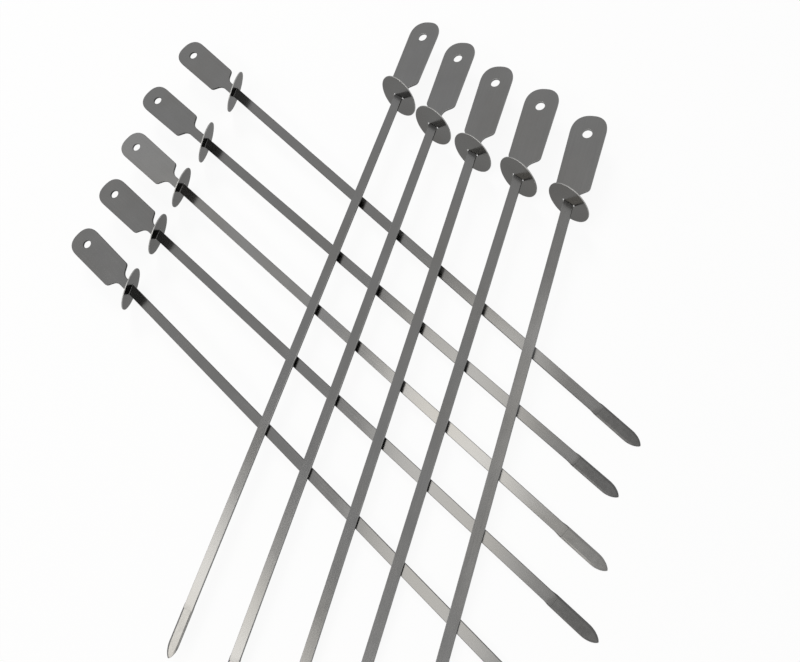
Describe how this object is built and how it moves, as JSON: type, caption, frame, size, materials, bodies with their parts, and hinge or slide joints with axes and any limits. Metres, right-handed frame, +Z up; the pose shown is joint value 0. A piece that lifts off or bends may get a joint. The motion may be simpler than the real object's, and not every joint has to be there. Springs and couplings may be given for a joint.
{
  "type": "kebab skewer set",
  "caption": "Flat stainless kebab skewers with paddle handles, hanging holes and loose slotted discs that slide on the blades, laid in two crossing rows.",
  "frame": {"origin": "middle of the set's footprint, on the table", "axes": "+Z up from the table, +Y away from the viewer towards the upper row's handles, +X to the viewer's right"},
  "size_m": [0.5974, 0.808, 0.046],
  "materials": {
    "skewer_steel": "finely brushed satin stainless steel",
    "disc_steel": "satin to half bright stainless steel"
  },
  "bodies": {
    "skewer_lower_1": {"skewer_lower_1": "skewer_steel"},
    "disc_lower_1": {"disc_lower_1": "disc_steel"},
    "skewer_lower_2": {"skewer_lower_2": "skewer_steel"},
    "disc_lower_2": {"disc_lower_2": "disc_steel"},
    "skewer_lower_3": {"skewer_lower_3": "skewer_steel"},
    "disc_lower_3": {"disc_lower_3": "disc_steel"},
    "skewer_lower_4": {"skewer_lower_4": "skewer_steel"},
    "disc_lower_4": {"disc_lower_4": "disc_steel"},
    "skewer_lower_5": {"skewer_lower_5": "skewer_steel"},
    "disc_lower_5": {"disc_lower_5": "disc_steel"},
    "skewer_upper_1": {"skewer_upper_1": "skewer_steel"},
    "disc_upper_1": {"disc_upper_1": "disc_steel"},
    "skewer_upper_2": {"skewer_upper_2": "skewer_steel"},
    "disc_upper_2": {"disc_upper_2": "disc_steel"},
    "skewer_upper_3": {"skewer_upper_3": "skewer_steel"},
    "disc_upper_3": {"disc_upper_3": "disc_steel"},
    "skewer_upper_4": {"skewer_upper_4": "skewer_steel"},
    "disc_upper_4": {"disc_upper_4": "disc_steel"},
    "skewer_upper_5": {"skewer_upper_5": "skewer_steel"},
    "disc_upper_5": {"disc_upper_5": "disc_steel"}
  },
  "joints": [
    {"name": "slide_disc_lower_1", "type": "slide", "parent": "skewer_lower_1", "child": "disc_lower_1", "axis": [0.1701, -0.9848, -0.0354], "range_m": [-0.0115, 0.201]},
    {"name": "draw_lower_2", "type": "slide", "parent": "skewer_lower_1", "child": "skewer_lower_2", "axis": [-0.2078, 0.9775, 0.0361], "range_m": [0, 0.4]},
    {"name": "slide_disc_lower_2", "type": "slide", "parent": "skewer_lower_2", "child": "disc_lower_2", "axis": [0.2078, -0.9775, -0.0361], "range_m": [-0.022, 0.203]},
    {"name": "draw_lower_3", "type": "slide", "parent": "skewer_lower_1", "child": "skewer_lower_3", "axis": [-0.218, 0.9753, 0.0356], "range_m": [0, 0.4]},
    {"name": "slide_disc_lower_3", "type": "slide", "parent": "skewer_lower_3", "child": "disc_lower_3", "axis": [0.218, -0.9753, -0.0356], "range_m": [-0.015, 0.207]},
    {"name": "draw_lower_4", "type": "slide", "parent": "skewer_lower_1", "child": "skewer_lower_4", "axis": [-0.2333, 0.9718, 0.0356], "range_m": [0, 0.4]},
    {"name": "slide_disc_lower_4", "type": "slide", "parent": "skewer_lower_4", "child": "disc_lower_4", "axis": [0.2333, -0.9718, -0.0356], "range_m": [-0.01, 0.206]},
    {"name": "draw_lower_5", "type": "slide", "parent": "skewer_lower_1", "child": "skewer_lower_5", "axis": [-0.2231, 0.9741, 0.0354], "range_m": [0, 0.4]},
    {"name": "slide_disc_lower_5", "type": "slide", "parent": "skewer_lower_5", "child": "disc_lower_5", "axis": [0.2231, -0.9741, -0.0354], "range_m": [-0.011, 0.207]},
    {"name": "lift_upper_1", "type": "slide", "parent": "skewer_lower_1", "child": "skewer_upper_1", "axis": [0, 0, 1], "range_m": [0, 0.15]},
    {"name": "slide_disc_upper_1", "type": "slide", "parent": "skewer_upper_1", "child": "disc_upper_1", "axis": [-0.818, -0.5749, -0.0186], "range_m": [-0.005, 0.109]},
    {"name": "lift_upper_2", "type": "slide", "parent": "skewer_lower_1", "child": "skewer_upper_2", "axis": [0, 0, 1], "range_m": [0, 0.15]},
    {"name": "slide_disc_upper_2", "type": "slide", "parent": "skewer_upper_2", "child": "disc_upper_2", "axis": [-0.8088, -0.5876, -0.0249], "range_m": [-0.0115, 0.105]},
    {"name": "lift_upper_3", "type": "slide", "parent": "skewer_lower_1", "child": "skewer_upper_3", "axis": [0, 0, 1], "range_m": [0, 0.15]},
    {"name": "slide_disc_upper_3", "type": "slide", "parent": "skewer_upper_3", "child": "disc_upper_3", "axis": [-0.7972, -0.6029, -0.0309], "range_m": [-0.01, 0.109]},
    {"name": "lift_upper_4", "type": "slide", "parent": "skewer_lower_1", "child": "skewer_upper_4", "axis": [0, 0, 1], "range_m": [0, 0.15]},
    {"name": "slide_disc_upper_4", "type": "slide", "parent": "skewer_upper_4", "child": "disc_upper_4", "axis": [-0.7992, -0.6, -0.0359], "range_m": [-0.007, 0.118]},
    {"name": "lift_upper_5", "type": "slide", "parent": "skewer_lower_1", "child": "skewer_upper_5", "axis": [0, 0, 1], "range_m": [0, 0.15]},
    {"name": "slide_disc_upper_5", "type": "slide", "parent": "skewer_upper_5", "child": "disc_upper_5", "axis": [-0.7917, -0.6097, -0.0379], "range_m": [-0.001, 0.129]}
  ]
}
